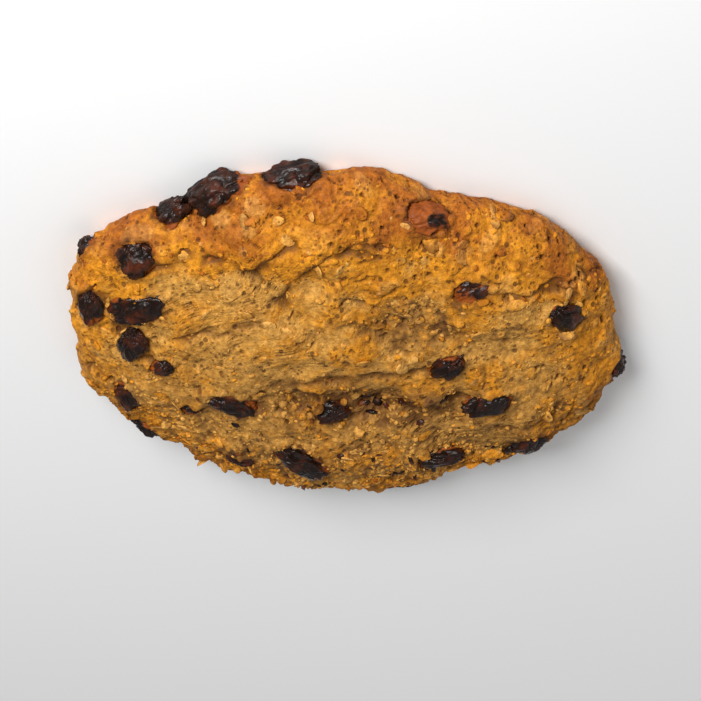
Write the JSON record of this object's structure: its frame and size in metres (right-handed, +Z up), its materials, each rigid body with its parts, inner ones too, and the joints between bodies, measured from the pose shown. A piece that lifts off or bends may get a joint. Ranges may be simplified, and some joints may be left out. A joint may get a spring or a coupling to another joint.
{
  "type": "oatmeal raisin cookie",
  "caption": "Round, slightly oval baked oat cookie with a domed, cracked crust, a rounded rim and raisins sunk into its top and edge. It lies on its flat underside.",
  "frame": {"origin": "centre of the box round the cookie, at the height of the flat underside", "axes": "+Z up, out of the domed top; +X along the longer side; +Y towards the high crusty edge"},
  "size_m": [0.088, 0.0796, 0.0136],
  "materials": {
    "dough": "baked oat dough: golden brown crust over tan crumb, dry, rough and grainy",
    "raisin": "dried grape skin: very dark purple brown, wrinkled, with a soft uneven shine"
  },
  "bodies": {
    "root": {"cookie": "dough", "raisin_01": "raisin", "raisin_02": "raisin", "raisin_03": "raisin", "raisin_04": "raisin", "raisin_05": "raisin", "raisin_06": "raisin", "raisin_07": "raisin", "raisin_08": "raisin", "raisin_09": "raisin", "raisin_10": "raisin", "raisin_11": "raisin", "raisin_12": "raisin", "raisin_13": "raisin", "raisin_14": "raisin", "raisin_15": "raisin", "raisin_16": "raisin", "raisin_17": "raisin", "raisin_18": "raisin", "raisin_19": "raisin", "raisin_20": "raisin", "raisin_21": "raisin", "raisin_22": "raisin", "raisin_23": "raisin", "raisin_24": "raisin", "raisin_25": "raisin", "raisin_26": "raisin"}
  },
  "joints": []
}
